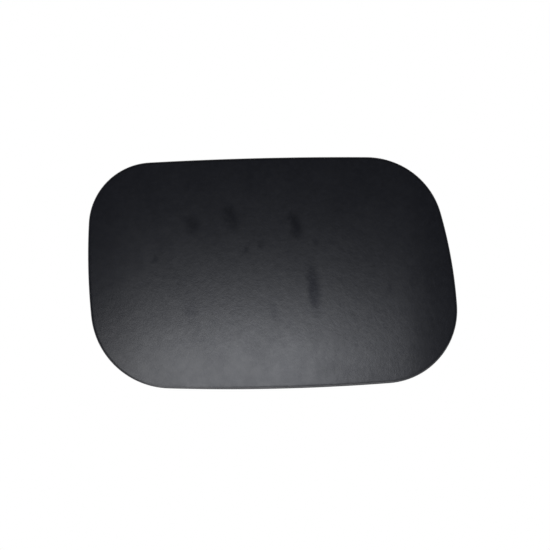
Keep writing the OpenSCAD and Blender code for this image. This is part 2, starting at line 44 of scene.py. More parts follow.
# Camera at the photograph's angle
cameraView = dict(
    lens=100,  # on a sensor 36 mm wide
    distance=824.9,  # from the middle of the panel, mm
    elevation=-7,  # the photograph looks up a little, degrees
    roll=-1.25,  # turn about the line of sight, degrees
    lookRight=1.56,  # the aim lies this far right of the middle, mm
    lookUp=-1.90,
    clip=(0.01, 20))  # nearest and farthest, metres


def makeCamera(p):
    tilt = math.radians(p["elevation"])
    back = Vector((0, -math.cos(tilt), math.sin(tilt)))
    level = (-back).to_track_quat("-Z", "Y")
    turn = level @ Matrix.Rotation(math.radians(p["roll"]), 3, "Z").to_quaternion()
    aim = panelMiddle + turn @ Vector((p["lookRight"], p["lookUp"], 0))
    data = bpy.data.cameras.new("photoCamera")
    data.lens = p["lens"]
    data.clip_start, data.clip_end = p["clip"]
    camera = bpy.data.objects.new("photoCamera", data)
    camera.rotation_mode = "QUATERNION"
    camera.location = (aim + back * p["distance"]) * mm
    camera.rotation_quaternion = turn
    bpy.context.scene.collection.objects.link(camera)
    bpy.context.scene.camera = camera


makeCamera(cameraView)
print("camera placed")


# Small helpers for node trees
def addNode(tree, kind, x, y, **settings):
    node = tree.nodes.new(kind)
    node.location = (x, y)
    for key, value in settings.items():
        setattr(node, key, value)
    return node


def feed(tree, value, socket):
    if isinstance(value, bpy.types.NodeSocket):
        tree.links.new(value, socket)
    else:
        socket.default_value = value


def mathNode(tree, x, y, operation, first, second=0.0, clamp=False):
    node = addNode(tree, "ShaderNodeMath", x, y, operation=operation, use_clamp=clamp)
    feed(tree, first, node.inputs[0])
    feed(tree, second, node.inputs[1])
    return node.outputs[0]


def blendNumber(tree, x, y, share, low, high):
    node = addNode(tree, "ShaderNodeMix", x, y, data_type="FLOAT")
    feed(tree, share, node.inputs["Factor"])
    feed(tree, low, node.inputs[2])
    feed(tree, high, node.inputs[3])
    return node.outputs[0]


def blendColour(tree, x, y, share, low, high):
    node = addNode(tree, "ShaderNodeMix", x, y, data_type="RGBA")
    feed(tree, share, node.inputs["Factor"])
    feed(tree, low, node.inputs[6])
    feed(tree, high, node.inputs[7])
    return node.outputs[2]


def remap(tree, x, y, value, low, high, toLow=0.0, toHigh=1.0):
    node = addNode(tree, "ShaderNodeMapRange", x, y, interpolation_type="SMOOTHSTEP")
    feed(tree, value, node.inputs["Value"])
    node.inputs["From Min"].default_value = low
    node.inputs["From Max"].default_value = high
    node.inputs["To Min"].default_value = toLow
    node.inputs["To Max"].default_value = toHigh
    return node.outputs["Result"]


def noiseNode(tree, x, y, place, scale, detail=3.0, roughness=0.55):
    node = addNode(tree, "ShaderNodeTexNoise", x, y)
    feed(tree, place, node.inputs["Vector"])
    feed(tree, scale, node.inputs["Scale"])
    node.inputs["Detail"].default_value = detail
    node.inputs["Roughness"].default_value = roughness
    return node.outputs["Fac"]


def startGroup(name, inputs, outputs):
    group = bpy.data.node_groups.new(name, "ShaderNodeTree")
    for label, kind, value in inputs:
        socket = group.interface.new_socket(label, in_out="INPUT", socket_type=kind)
        socket.default_value = value
    for label in outputs:
        group.interface.new_socket(label, in_out="OUTPUT", socket_type="NodeSocketFloat")
    return group, addNode(group, "NodeGroupInput", -900, 0), addNode(group, "NodeGroupOutput", 700, 0)


# Fine grain of a coat or a moulding, and slow clouds in its finish
grainShape = dict(
    finerBy=3.1, finerShare=0.35,  # a second noise, this much finer, and its share in the height
    cloudRange=(0.3, 0.7))  # from the darkest to the lightest cloud


def makeGrainGroup(p):
    group, given, result = startGroup("fineGrain", [
        ("Scale", "NodeSocketFloat", 900.0), ("Cloud Scale", "NodeSocketFloat", 30.0)],
        ["Height", "Cloud"])
    place = addNode(group, "ShaderNodeTexCoord", -900, -250).outputs["Object"]
    coarse = noiseNode(group, -600, 150, place, given.outputs["Scale"], detail=2.0)
    finer = mathNode(group, -750, -50, "MULTIPLY", given.outputs["Scale"], p["finerBy"])
    fine = noiseNode(group, -600, -100, place, finer, detail=3.0)
    height = blendNumber(group, -350, 50, p["finerShare"], coarse, fine)
    cloud = noiseNode(group, -600, -350, place, given.outputs["Cloud Scale"], detail=4.0)
    group.links.new(height, result.inputs["Height"])
    group.links.new(remap(group, -350, -350, cloud, *p["cloudRange"]), result.inputs["Cloud"])
    return group


# Where an edge is rubbed: the rounded normal leaves the flat one, broken up by noise
edgeShape = dict(
    samples=6,
    bareRange=(0.995, 0.88),  # how well the two normals agree where the rub begins and where it is full
    patchRange=(0.42, 0.62))


def makeEdgeGroup(p):
    group, given, result = startGroup("edgeRub", [
        ("Radius", "NodeSocketFloat", 0.0006), ("Break Up", "NodeSocketFloat", 400.0)], ["Mask"])
    rounded = addNode(group, "ShaderNodeBevel", -600, 150, samples=p["samples"])
    group.links.new(given.outputs["Radius"], rounded.inputs["Radius"])
    flat = addNode(group, "ShaderNodeNewGeometry", -600, -50).outputs["Normal"]
    dot = addNode(group, "ShaderNodeVectorMath", -400, 100, operation="DOT_PRODUCT")
    group.links.new(rounded.outputs["Normal"], dot.inputs[0])
    group.links.new(flat, dot.inputs[1])
    bare = remap(group, -200, 100, dot.outputs["Value"], *p["bareRange"])
    place = addNode(group, "ShaderNodeTexCoord", -600, -300).outputs["Object"]
    noise = noiseNode(group, -400, -300, place, given.outputs["Break Up"], detail=4.0)
    patchy = remap(group, -200, -200, noise, *p["patchRange"])
    group.links.new(mathNode(group, 100, 0, "MULTIPLY", bare, patchy), result.inputs["Mask"])
    return group


# Dust that settles on what faces up
dustShape = dict(
    facing=(-0.35, 0.95),  # the upward part of the normal where dust begins and where it is full
    least=0.12,  # the share that clings to what faces down
    grainRange=(0.38, 0.75))


def makeDustGroup(p):
    group, given, result = startGroup("settledDust", [
        ("Amount", "NodeSocketFloat", 0.3), ("Scale", "NodeSocketFloat", 220.0)], ["Mask"])
    normal = addNode(group, "ShaderNodeNewGeometry", -700, 200).outputs["Normal"]
    split = addNode(group, "ShaderNodeSeparateXYZ", -500, 200)
    group.links.new(normal, split.inputs[0])
    upward = remap(group, -300, 200, split.outputs["Z"], *p["facing"], p["least"], 1.0)
    place = addNode(group, "ShaderNodeTexCoord", -700, -100).outputs["Object"]
    noise = noiseNode(group, -500, -100, place, given.outputs["Scale"], detail=6.0, roughness=0.7)
    grains = remap(group, -300, -100, noise, *p["grainRange"])
    both = mathNode(group, 0, 100, "MULTIPLY", upward, grains)
    group.links.new(mathNode(group, 250, 50, "MULTIPLY", both, given.outputs["Amount"], clamp=True),
        result.inputs["Mask"])
    return group


# Thin handling scratches, as noise stretched in two directions
scratchShape = dict(
    turns=((0.4, 0.9, 0.2), (-0.7, 0.3, 1.1)),  # the two directions, as turns in radians
    stretch=14,
    lineRange=(0.66, 0.74))  # only the crests of the noise show


def makeScratchGroup(p):
    group, given, result = startGroup("fineScratches", [
        ("Scale", "NodeSocketFloat", 120.0), ("Amount", "NodeSocketFloat", 0.5)], ["Mask"])
    place = addNode(group, "ShaderNodeTexCoord", -900, -250).outputs["Object"]
    lines = []
    for row, turn in enumerate(p["turns"]):
        mapping = addNode(group, "ShaderNodeMapping", -700, 200 - 300 * row)
        group.links.new(place, mapping.inputs["Vector"])
        mapping.inputs["Rotation"].default_value = turn
        mapping.inputs["Scale"].default_value = (1, p["stretch"], p["stretch"])
        noise = noiseNode(group, -450, 200 - 300 * row, mapping.outputs[0], given.outputs["Scale"],
            detail=2.0)
        lines.append(remap(group, -200, 200 - 300 * row, noise, *p["lineRange"]))
    both = mathNode(group, 100, 50, "MAXIMUM", lines[0], lines[1])
    group.links.new(mathNode(group, 300, 0, "MULTIPLY", both, given.outputs["Amount"]),
        result.inputs["Mask"])
    return group


# One wiped or greasy spot, long and thin or round, with a soft border
spotShape = dict(
    warpScale=260.0, warpReach=0.0035,  # noise shifts the outline by up to half this far, metres
    border=(1.3, 0.2))  # from nothing outside to full inside, in half sizes


def makeSpotGroup(p):
    group, given, result = startGroup("wipedSpot", [
        ("Centre", "NodeSocketVector", (0, 0, 0)), ("Half Size", "NodeSocketVector", (0.002, 1, 0.008)),
        ("Lean", "NodeSocketFloat", 0.0), ("Strength", "NodeSocketFloat", 1.0)], ["Mask"])
    place = addNode(group, "ShaderNodeTexCoord", -900, -250).outputs["Object"]
    warp = addNode(group, "ShaderNodeTexNoise", -900, -500)
    warp.inputs["Scale"].default_value = p["warpScale"]
    group.links.new(place, warp.inputs["Vector"])
    level = addNode(group, "ShaderNodeVectorMath", -780, -500, operation="SUBTRACT")
    group.links.new(warp.outputs["Color"], level.inputs[0])
    level.inputs[1].default_value = (0.5, 0.5, 0.5)
    shifted = addNode(group, "ShaderNodeVectorMath", -650, -450, operation="MULTIPLY_ADD")
    group.links.new(level.outputs[0], shifted.inputs[0])
    shifted.inputs[1].default_value = (p["warpReach"], 0.0, p["warpReach"])
    group.links.new(place, shifted.inputs[2])
    offset = addNode(group, "ShaderNodeVectorMath", -450, -100, operation="SUBTRACT")
    group.links.new(shifted.outputs[0], offset.inputs[0])
    group.links.new(given.outputs["Centre"], offset.inputs[1])
    parts = addNode(group, "ShaderNodeSeparateXYZ", -450, -300)
    group.links.new(offset.outputs[0], parts.inputs[0])
    along = mathNode(group, -350, -450, "MULTIPLY", parts.outputs["Z"], given.outputs["Lean"])
    upright = addNode(group, "ShaderNodeCombineXYZ", -350, -250)
    straightened = mathNode(group, -350, -600, "SUBTRACT", parts.outputs["X"], along)
    group.links.new(straightened, upright.inputs["X"])
    group.links.new(parts.outputs["Z"], upright.inputs["Z"])
    share = addNode(group, "ShaderNodeVectorMath", -250, -100, operation="DIVIDE")
    group.links.new(upright.outputs[0], share.inputs[0])
    group.links.new(given.outputs["Half Size"], share.inputs[1])
    far = addNode(group, "ShaderNodeVectorMath", -50, -100, operation="LENGTH")
    group.links.new(share.outputs[0], far.inputs[0])
    inside = remap(group, 150, -100, far.outputs["Value"], *p["border"])
    group.links.new(mathNode(group, 400, -50, "MULTIPLY", inside, given.outputs["Strength"]),
        result.inputs["Mask"])
    return group


fineGrain = makeGrainGroup(grainShape)
edgeRub = makeEdgeGroup(edgeShape)
settledDust = makeDustGroup(dustShape)
fineScratches = makeScratchGroup(scratchShape)
wipedSpot = makeSpotGroup(spotShape)
print("shader groups made")


# A value's keyword becomes its input's label: cloudScale sets "Cloud Scale"
def placeGroup(tree, group, x, y, **values):
    node = addNode(tree, "ShaderNodeGroup", x, y, node_tree=group, label=group.name)
    for key, value in values.items():
        label = "".join(" " + c if c.isupper() else c for c in key)
        node.inputs[label[0].upper() + label[1:]].default_value = value
    return node


def startMaterial(name, **constants):
    material = bpy.data.materials.new(name)
    material.use_nodes = True
    tree = material.node_tree
    shader = tree.nodes["Principled BSDF"]
    for key, value in constants.items():
        shader.inputs[key].default_value = value
    return material, tree, shader


def bumpFrom(tree, shader, height, depth):
    bump = addNode(tree, "ShaderNodeBump", -200, -400)
    bump.inputs["Distance"].default_value = depth
    tree.links.new(height, bump.inputs["Height"])
    tree.links.new(bump.outputs["Normal"], shader.inputs["Normal"])


# Materials
skinFinish = dict(
    colour=(0.0044, 0.0052, 0.0092, 1),
    dustColour=(0.030, 0.030, 0.032, 1),
    dust=0.30, dustScale=420,
    roughness=0.296,
    cloudRoughness=0.02, cloudScale=60,  # how much the gloss drifts over the panel
    spotSheen=0.52,  # a full spot would lose about this share of the sheen
    hazeSheen=0.13, hazeScale=260,  # uneven haze all over takes up to this share, in small clouds
    hazeRange=(0.3, 0.7),
    grainScale=330, grainDepth=0.000045)
# Wiped spots on the face: x and z from the panel's middle, half width, half height, lean, strength
skinSpots = [
    (-42.6, 26.3, 5.4, 6.2, 0, 0.67), (-21.4, 29.4, 4.2, 9.2, -0.2, 0.64),
    (13.4, 24.6, 3.9, 8.7, -0.2, 0.76), (22.1, -9.8, 4.3, 15.0, -0.07, 0.87),
    # five dots and two faint streaks
    (-13.6, 12.2, 2.0, 2.2, 0, 0.6), (-6.0, 15.0, 2.6, 2.4, 0, 0.4), (23.9, 15.4, 1.9, 2.4, 0, 0.45),
    (-62.9, 8.1, 1.9, 2.8, 0, 0.5), (62.9, -10.2, 2.0, 3.2, 0, 0.4),
    (-43.9, -20.1, 4.5, 7.0, 0, 0.3), (0.4, -21.9, 2.4, 6.0, 0, 0.3)]


def makeSkinMaterial(p, spots):
    material, tree, shader = startMaterial("satinBlackPrimer", IOR=1.5)
    grain = placeGroup(tree, fineGrain, -900, -300, scale=p["grainScale"], cloudScale=p["cloudScale"])
    dust = placeGroup(tree, settledDust, -900, 300, amount=p["dust"], scale=p["dustScale"])
    mask = None
    for row, (x, z, halfX, halfZ, lean, strength) in enumerate(spots):
        spot = placeGroup(tree, wipedSpot, -1500, 800 - 180 * row, strength=strength, lean=lean,
            centre=(panelMiddle + Vector((x, 0, z))) * mm, halfSize=(halfX * mm, 1.0, halfZ * mm))
        mask = spot.outputs["Mask"] if mask is None else mathNode(tree, -1200, 800 - 180 * row,
            "MAXIMUM", mask, spot.outputs["Mask"])
    drift = p["cloudRoughness"] / 2
    gloss = blendNumber(tree, -600, 0, grain.outputs["Cloud"], p["roughness"] - drift,
        p["roughness"] + drift)
    tree.links.new(gloss, shader.inputs["Roughness"])
    # metal as dark as the coat reflects less, which dulls a spot and makes the haze
    place = addNode(tree, "ShaderNodeTexCoord", -1100, -500).outputs["Object"]
    clouds = noiseNode(tree, -900, -500, place, p["hazeScale"], detail=4.0, roughness=0.6)
    haze = remap(tree, -700, -500, clouds, *p["hazeRange"], 0.0, p["hazeSheen"])
    wiped = mathNode(tree, -550, -150, "MULTIPLY", mask, p["spotSheen"])
    tree.links.new(mathNode(tree, -350, -150, "ADD", wiped, haze), shader.inputs["Metallic"])
    tree.links.new(blendColour(tree, -350, 250, dust.outputs["Mask"], p["colour"], p["dustColour"]),
        shader.inputs["Base Color"])
    bumpFrom(tree, shader, grain.outputs["Height"], p["grainDepth"])
    return material


hiddenFinish = dict(
    colour=(0.010, 0.0105, 0.012, 1), clouded=(0.016, 0.0165, 0.018, 1),
    rubbedColour=(0.10, 0.10, 0.10, 1), dustColour=(0.16, 0.145, 0.12, 1),
    dust=0.35, dustScale=900, dustRoughness=0.8,
    rub=0.55, edgeRadius=0.0005, edgeBreakUp=420,
    scratches=0.25, scratchScale=160,
    roughness=(0.34, 0.46), cloudScale=60, grainScale=700, grainDepth=0.000006)


def makeHiddenMaterial(p):
    material, tree, shader = startMaterial("dippedBlackPrimer", IOR=1.5)
    grain = placeGroup(tree, fineGrain, -1100, -300, scale=p["grainScale"], cloudScale=p["cloudScale"])
    dust = placeGroup(tree, settledDust, -1100, 300, amount=p["dust"], scale=p["dustScale"])
    edge = placeGroup(tree, edgeRub, -1100, 550, radius=p["edgeRadius"], breakUp=p["edgeBreakUp"])
    scratch = placeGroup(tree, fineScratches, -1100, 50, scale=p["scratchScale"], amount=p["scratches"])
    coat = blendColour(tree, -800, 300, grain.outputs["Cloud"], p["colour"], p["clouded"])
    worn = mathNode(tree, -800, 500, "MULTIPLY", edge.outputs["Mask"], p["rub"])
    marked = mathNode(tree, -650, 500, "MAXIMUM", worn, scratch.outputs["Mask"])
    rubbed = blendColour(tree, -600, 300, marked, coat, p["rubbedColour"])
    tree.links.new(blendColour(tree, -400, 300, dust.outputs["Mask"], rubbed, p["dustColour"]),
        shader.inputs["Base Color"])
    gloss = blendNumber(tree, -600, 0, grain.outputs["Cloud"], *p["roughness"])
    tree.links.new(blendNumber(tree, -400, 0, dust.outputs["Mask"], gloss, p["dustRoughness"]),
        shader.inputs["Roughness"])
    bumpFrom(tree, shader, grain.outputs["Height"], p["grainDepth"])
    return material


metalWear = dict(  # the same on zinc and wire
    cloudScale=180, edgeRadius=0.0003, edgeBreakUp=900, scratches=0.6, scratchScale=300)
zincFinish = dict(
    colour=(0.60, 0.59, 0.55, 1), clouded=(0.50, 0.53, 0.58, 1), dull=(0.30, 0.29, 0.27, 1),
    roughness=(0.26, 0.42), grainScale=1500, grainDepth=0.000004, **metalWear)
wireFinish = dict(
    colour=(0.085, 0.083, 0.080, 1), clouded=(0.13, 0.125, 0.12, 1), dull=(0.32, 0.31, 0.30, 1),
    roughness=(0.36, 0.52), grainScale=1800, grainDepth=0.000005, **metalWear)


def makeMetalMaterial(name, p):
    material, tree, shader = startMaterial(name, Metallic=1.0)
    grain = placeGroup(tree, fineGrain, -900, -300, scale=p["grainScale"], cloudScale=p["cloudScale"])
    edge = placeGroup(tree, edgeRub, -900, 500, radius=p["edgeRadius"], breakUp=p["edgeBreakUp"])
    scratch = placeGroup(tree, fineScratches, -900, 50, scale=p["scratchScale"], amount=p["scratches"])
    coat = blendColour(tree, -650, 300, grain.outputs["Cloud"], p["colour"], p["clouded"])
    marked = mathNode(tree, -650, 500, "MAXIMUM", edge.outputs["Mask"], scratch.outputs["Mask"])
    tree.links.new(blendColour(tree, -400, 300, marked, coat, p["dull"]), shader.inputs["Base Color"])
    tree.links.new(blendNumber(tree, -400, 0, grain.outputs["Cloud"], *p["roughness"]),
        shader.inputs["Roughness"])
    bumpFrom(tree, shader, grain.outputs["Height"], p["grainDepth"])
    return material


mouldedLook = dict(cloudScale=90, dustScale=900)  # the same on nylon, rubber and plastic
nylonFinish = dict(
    colour=(0.70, 0.66, 0.54, 1), clouded=(0.62, 0.57, 0.45, 1), dustColour=(0.30, 0.27, 0.22, 1),
    dust=0.25, roughness=(0.38, 0.50), grainScale=1300, grainDepth=0.000004,
    constants={"Subsurface Weight": 0.2, "Subsurface Scale": 0.0015}, **mouldedLook)
rubberFinish = dict(
    colour=(0.014, 0.014, 0.014, 1), clouded=(0.022, 0.022, 0.022, 1), dustColour=(0.18, 0.17, 0.15, 1),
    dust=0.45, roughness=(0.62, 0.80), grainScale=1500, grainDepth=0.00002, constants={}, **mouldedLook)
plasticFinish = dict(
    colour=(0.019, 0.020, 0.022, 1), clouded=(0.026, 0.027, 0.029, 1), dustColour=(0.17, 0.155, 0.13, 1),
    dust=0.35, roughness=(0.44, 0.56), grainScale=1900, grainDepth=0.000035, constants={}, **mouldedLook)


def makeMouldedMaterial(name, p):
    material, tree, shader = startMaterial(name, **p["constants"])
    grain = placeGroup(tree, fineGrain, -900, -300, scale=p["grainScale"], cloudScale=p["cloudScale"])
    dust = placeGroup(tree, settledDust, -900, 300, amount=p["dust"], scale=p["dustScale"])
    body = blendColour(tree, -650, 300, grain.outputs["Cloud"], p["colour"], p["clouded"])
    tree.links.new(blendColour(tree, -400, 300, dust.outputs["Mask"], body, p["dustColour"]),
        shader.inputs["Base Color"])
    tree.links.new(blendNumber(tree, -400, 0, grain.outputs["Cloud"], *p["roughness"]),
        shader.inputs["Roughness"])
    bumpFrom(tree, shader, grain.outputs["Height"], p["grainDepth"])
    return material


skinMaterial = makeSkinMaterial(skinFinish, skinSpots)
hiddenMaterial = makeHiddenMaterial(hiddenFinish)
zincMaterial = makeMetalMaterial("zincCoat", zincFinish)
wireMaterial = makeMetalMaterial("phosphateWire", wireFinish)
nylonMaterial = makeMouldedMaterial("naturalNylon", nylonFinish)
rubberMaterial = makeMouldedMaterial("blackRubber", rubberFinish)
plasticMaterial = makeMouldedMaterial("grainedPlastic", plasticFinish)
print("materials made")


# Meshes are given in millimetres
def makeObject(name, verts, faces, material):
    mesh = bpy.data.meshes.new(name)
    mesh.from_pydata([tuple(Vector(v) * mm) for v in verts], [], faces)
    edit = bmesh.new()
    edit.from_mesh(mesh)
    bmesh.ops.recalc_face_normals(edit, faces=edit.faces)
    edit.to_mesh(mesh)
    edit.free()
    mesh.polygons.foreach_set("use_smooth", [True] * len(mesh.polygons))
    mesh.materials.append(material)
    obj = bpy.data.objects.new(name, mesh)
    bpy.context.scene.collection.objects.link(obj)
    return obj


# Rings joined in order into a closed skin, with a point at each end
def loftRings(name, rings, first, last, material):
    size = len(rings[0])
    verts = [first] + [p for ring in rings for p in ring] + [last]
    end = len(verts) - 1
    faces = [(0, 1 + j, 1 + (j + 1) % size) for j in range(size)]
    for i in range(len(rings) - 1):
        a, b = 1 + i * size, 1 + (i + 1) * size
        faces += [(a + j, b + j, b + (j + 1) % size, a + (j + 1) % size) for j in range(size)]
    faces += [(end, end - size + (j + 1) % size, end - size + j) for j in range(size)]
    return makeObject(name, verts, faces, material)


# Outer skin: the same outline and crown as the solid, with many more stations
panelSkin = dict(
    length=200, height=126.2,
    bows=(2370, 254, 1100, 352),  # radii of the top, free, bottom and hinge edges
    freeDrop=30, hingeRise=10.5,  # where the two short edges stand furthest out
    corners=(41.5, 40, 44, 34.5),  # the corner after each of those edges
    crownLong=1800, crownHigh=900,
    endStart=70, endRound=420,  # towards both ends the crown is rounder
    sheet=0.8, hemWidth=9, hemSpace=1.0, lipRound=0.2,
    fieldInset=28, fieldSteps=14,  # inside this inset the rings shrink towards the middle
    rimInsets=(24, 20, 16, 12, 9, 6.5, 4.5, 3, 2),  # rings of the face between there and the fold
    hemInsets=(2.5, 4.5, 6.5, 8.2),
    edgeSteps=26, cornerSteps=30, foldSteps=18, lipSteps=4)


def angleTo(start, end):
    return math.atan2(end[1] - start[1], end[0] - start[0])


# Clockwise round a centre, given as x, z and radius
def arcStations(centre, start, stop, steps):
    while stop > start:
        stop -= 2 * math.pi
    return [(*centre, start + (stop - start) * i / steps) for i in range(steps)]


def outlineStations(p):
    top, free, bottom, hinge = p["bows"]
    halfLength, halfHeight = p["length"] / 2, p["height"] / 2
    sides = [(0, halfHeight - top, top), (halfLength - free, -p["freeDrop"], free),
        (0, bottom - halfHeight, bottom), (hinge - halfLength, p["hingeRise"], hinge)]
    centres = []
    for k, radius in enumerate(p["corners"]):
        a, b = sides[k], sides[(k + 1) % 4]
        line = Vector((b[0] - a[0], b[1] - a[1]))
        apart = line.length
        along = ((a[2] - radius) ** 2 - (b[2] - radius) ** 2 + apart ** 2) / (2 * apart)
        across = math.sqrt((a[2] - radius) ** 2 - along ** 2)
        u = line / apart
        centres.append((a[0] + u.x * along + u.y * across, a[1] + u.y * along - u.x * across))
    stations = []
    for k in range(4):
        before, after = centres[k - 1], centres[k]
        side, following = sides[k], sides[(k + 1) % 4]
        corner = (*after, p["corners"][k])
        # arcs that touch smoothly meet on the line through their centres
        stations += arcStations(side, angleTo(side, before), angleTo(side, after), p["edgeSteps"])
        stations += arcStations(corner, angleTo(side, after), angleTo(following, after), p["cornerSteps"])
    return stations


# One ring of the panel: so far in from the outline, shrunk to a share, and so far down from the face
def skinRing(p, stations, inset, share, down):
    ring = []
    for cx, cz, radius, angle in stations:
        x = (cx + (radius - inset) * math.cos(angle)) * share
        z = (cz + (radius - inset) * math.sin(angle)) * share
        crown = (x * x / (2 * p["crownLong"]) + z * z / (2 * p["crownHigh"])
            + max(abs(x) - p["endStart"], 0) ** 2 / (2 * p["endRound"]))
        ring.append(panelMiddle + Vector((x, crown + down, z)))
    return ring


def makeSkin(p, material):
    stations = outlineStations(p)
    foldIn = p["hemSpace"] / 2
    foldOut = foldIn + p["sheet"]
    total, lip = 2 * foldOut, p["lipRound"]
    field = [(p["fieldInset"], (i + 1) / p["fieldSteps"]) for i in range(p["fieldSteps"])]
    field += [(d, 1) for d in p["rimInsets"]]
    section = [(inset, share, 0) for inset, share in field]
    for i in range(p["foldSteps"] + 1):
        turn = math.pi * i / p["foldSteps"]
        section.append((foldOut * (1 - math.sin(turn)), 1, foldOut * (1 - math.cos(turn))))
    section += [(d, 1, total) for d in p["hemInsets"]]
    quarter = [math.pi / 2 * i / p["lipSteps"] for i in range(p["lipSteps"] + 1)]
    for turn in quarter:  # rounded cut edge of the sheet
        section.append((p["hemWidth"] - lip + lip * math.sin(turn), 1, total - lip + lip * math.cos(turn)))
    for turn in quarter:
        section.append((p["hemWidth"] - lip + lip * math.cos(turn), 1,
            total - p["sheet"] + lip - lip * math.sin(turn)))
    section += [(d, 1, total - p["sheet"]) for d in reversed(p["hemInsets"])]
    for i in range(p["foldSteps"] + 1):
        turn = math.pi * (1 - i / p["foldSteps"])
        section.append((foldOut - foldIn * math.sin(turn), 1, foldOut - foldIn * math.cos(turn)))
    section += [(inset, share, p["sheet"]) for inset, share in reversed(field)]
    rings = [skinRing(p, stations, inset, share, down) for inset, share, down in section]
    return loftRings("outerSkin", rings, panelMiddle, panelMiddle + Vector((0, p["sheet"], 0)), material)


outerSkin = makeSkin(panelSkin, skinMaterial)
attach(outerSkin, "door")
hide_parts("outer_panel")
print("outer skin made,", len(outerSkin.data.polygons), "faces")


# Toggle spring: hook in the bracket, one loop, hook in the arm's lug
toggleSpring = dict(
    wire=1.6, loopRadius=4.5, reach=15,  # the loop's middle lies this far from both hooks
    anchor=(0, 20),  # the hook in the bracket, from the pin
    crankRadius=10, crankAngle=135,  # the hook in the arm, round the pin
    lowLeg=20.2, highLeg=21.9, bend=1.6,  # heights of the legs, and the radius where they turn down
    anchorTip=13.4, crankTip=16.9,  # heights of the hooks' ends
    endBreak=0.2,  # chamfer of the cut ends, as a share of the wire's radius
    sides=20, loopSteps=96, bendSteps=12)


def springPath(p):
    anchor = Vector(p["anchor"])
    turn = math.radians(p["crankAngle"])
    crank = Vector((math.cos(turn), math.sin(turn))) * p["crankRadius"]
    span = crank - anchor
    off = math.sqrt(p["reach"] ** 2 - span.length_squared / 4)
    loopAt = (anchor + crank) / 2 + off * Vector((-span.y, span.x)) / span.length
    fan = math.asin(p["loopRadius"] / p["reach"])
    lowTurn = math.atan2(loopAt.y - anchor.y, loopAt.x - anchor.x) - fan
    highTurn = math.atan2(loopAt.y - crank.y, loopAt.x - crank.x) + fan
    start = lowTurn - math.pi / 2
    sweep = start - highTurn - math.pi / 2
    while sweep > 0:
        sweep -= 2 * math.pi

    def hook(at, heading, tip, leg):
        points = [Vector((at.x, at.y, tip)), Vector((at.x, at.y, (tip + leg) / 2))]
        for i in range(p["bendSteps"] + 1):
            a = math.pi / 2 * i / p["bendSteps"]
            q = at + Vector((math.cos(heading), math.sin(heading))) * p["bend"] * (1 - math.cos(a))
            points.append(Vector((q.x, q.y, leg - p["bend"] * (1 - math.sin(a)))))
        return points

    loop = []
    for i in range(p["loopSteps"] + 1):
        share = i / p["loopSteps"]
        a = start - sweep * share
        rise = p["lowLeg"] + (p["highLeg"] - p["lowLeg"]) * share
        loop.append(Vector((loopAt.x + p["loopRadius"] * math.cos(a),
            loopAt.y + p["loopRadius"] * math.sin(a), rise)))
    return (hook(anchor, lowTurn, p["anchorTip"], p["lowLeg"]) + loop
        + hook(crank, highTurn, p["crankTip"], p["highLeg"])[::-1])


def makeTube(name, path, radius, sides, endBreak, material):
    rings = []
    normal = Vector((1, 0.2, 0))  # any direction across the wire's first stretch
    turns = [2 * math.pi * k / sides for k in range(sides)]
    last = len(path) - 1
    for i, point in enumerate(path):
        along = (path[min(i + 1, last)] - path[max(i - 1, 0)]).normalized()
        normal = (normal - along * normal.dot(along)).normalized()
        beside = along.cross(normal)
        ring = [math.cos(a) * normal + math.sin(a) * beside for a in turns]
        if i in (0, last):  # the cut end is broken by a small chamfer
            inward = along if i == 0 else -along
            small = [pinAxis + point + v * radius * (1 - endBreak) for v in ring]
            full = [pinAxis + point + inward * radius * endBreak + v * radius for v in ring]
            rings += [small, full] if i == 0 else [full, small]
        else:
            rings.append([pinAxis + point + v * radius for v in ring])
    return loftRings(name, rings, pinAxis + path[0], pinAxis + path[-1], material)


spring = makeTube("toggleWire", springPath(toggleSpring), toggleSpring["wire"] / 2,
    toggleSpring["sides"], toggleSpring["endBreak"], wireMaterial)
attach(spring, "spring")
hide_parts("toggle_spring")
print("spring made")


# Solids that keep their shape get a clean-up, fine edge rounds and a finish
solidCare = dict(
    weldWithin=0.000002,  # seams closer than this are joined, metres
    flatWithin=0.6,  # faces that differ by less than this become one, degrees
    sharpFrom=32,  # edges from this angle up stay sharp or are rounded, degrees
    roundSegments=2)


def makeSmoothGroup(p):
    group = bpy.data.node_groups.new("smoothByAngle", "GeometryNodeTree")
    group.interface.new_socket("Geometry", in_out="INPUT", socket_type="NodeSocketGeometry")
    group.interface.new_socket("Geometry", in_out="OUTPUT", socket_type="NodeSocketGeometry")
    given = addNode(group, "NodeGroupInput", -600, 0)
    result = addNode(group, "NodeGroupOutput", 600, 0)
    faces = addNode(group, "GeometryNodeSetShadeSmooth", -300, 0, domain="FACE")
    edges = addNode(group, "GeometryNodeSetShadeSmooth", 0, 0, domain="EDGE")
    angle = addNode(group, "GeometryNodeInputMeshEdgeAngle", -600, -300)
    sharp = addNode(group, "FunctionNodeCompare", -300, -300, data_type="FLOAT", operation="GREATER_THAN")
    group.links.new(angle.outputs["Unsigned Angle"], sharp.inputs[0])
    sharp.inputs[1].default_value = math.radians(p["sharpFrom"])
    group.links.new(given.outputs[0], faces.inputs["Geometry"])
    group.links.new(faces.outputs[0], edges.inputs["Geometry"])
    group.links.new(sharp.outputs[0], edges.inputs["Selection"])
    edges.inputs["Shade Smooth"].default_value = False
    group.links.new(edges.outputs[0], result.inputs[0])
    return group


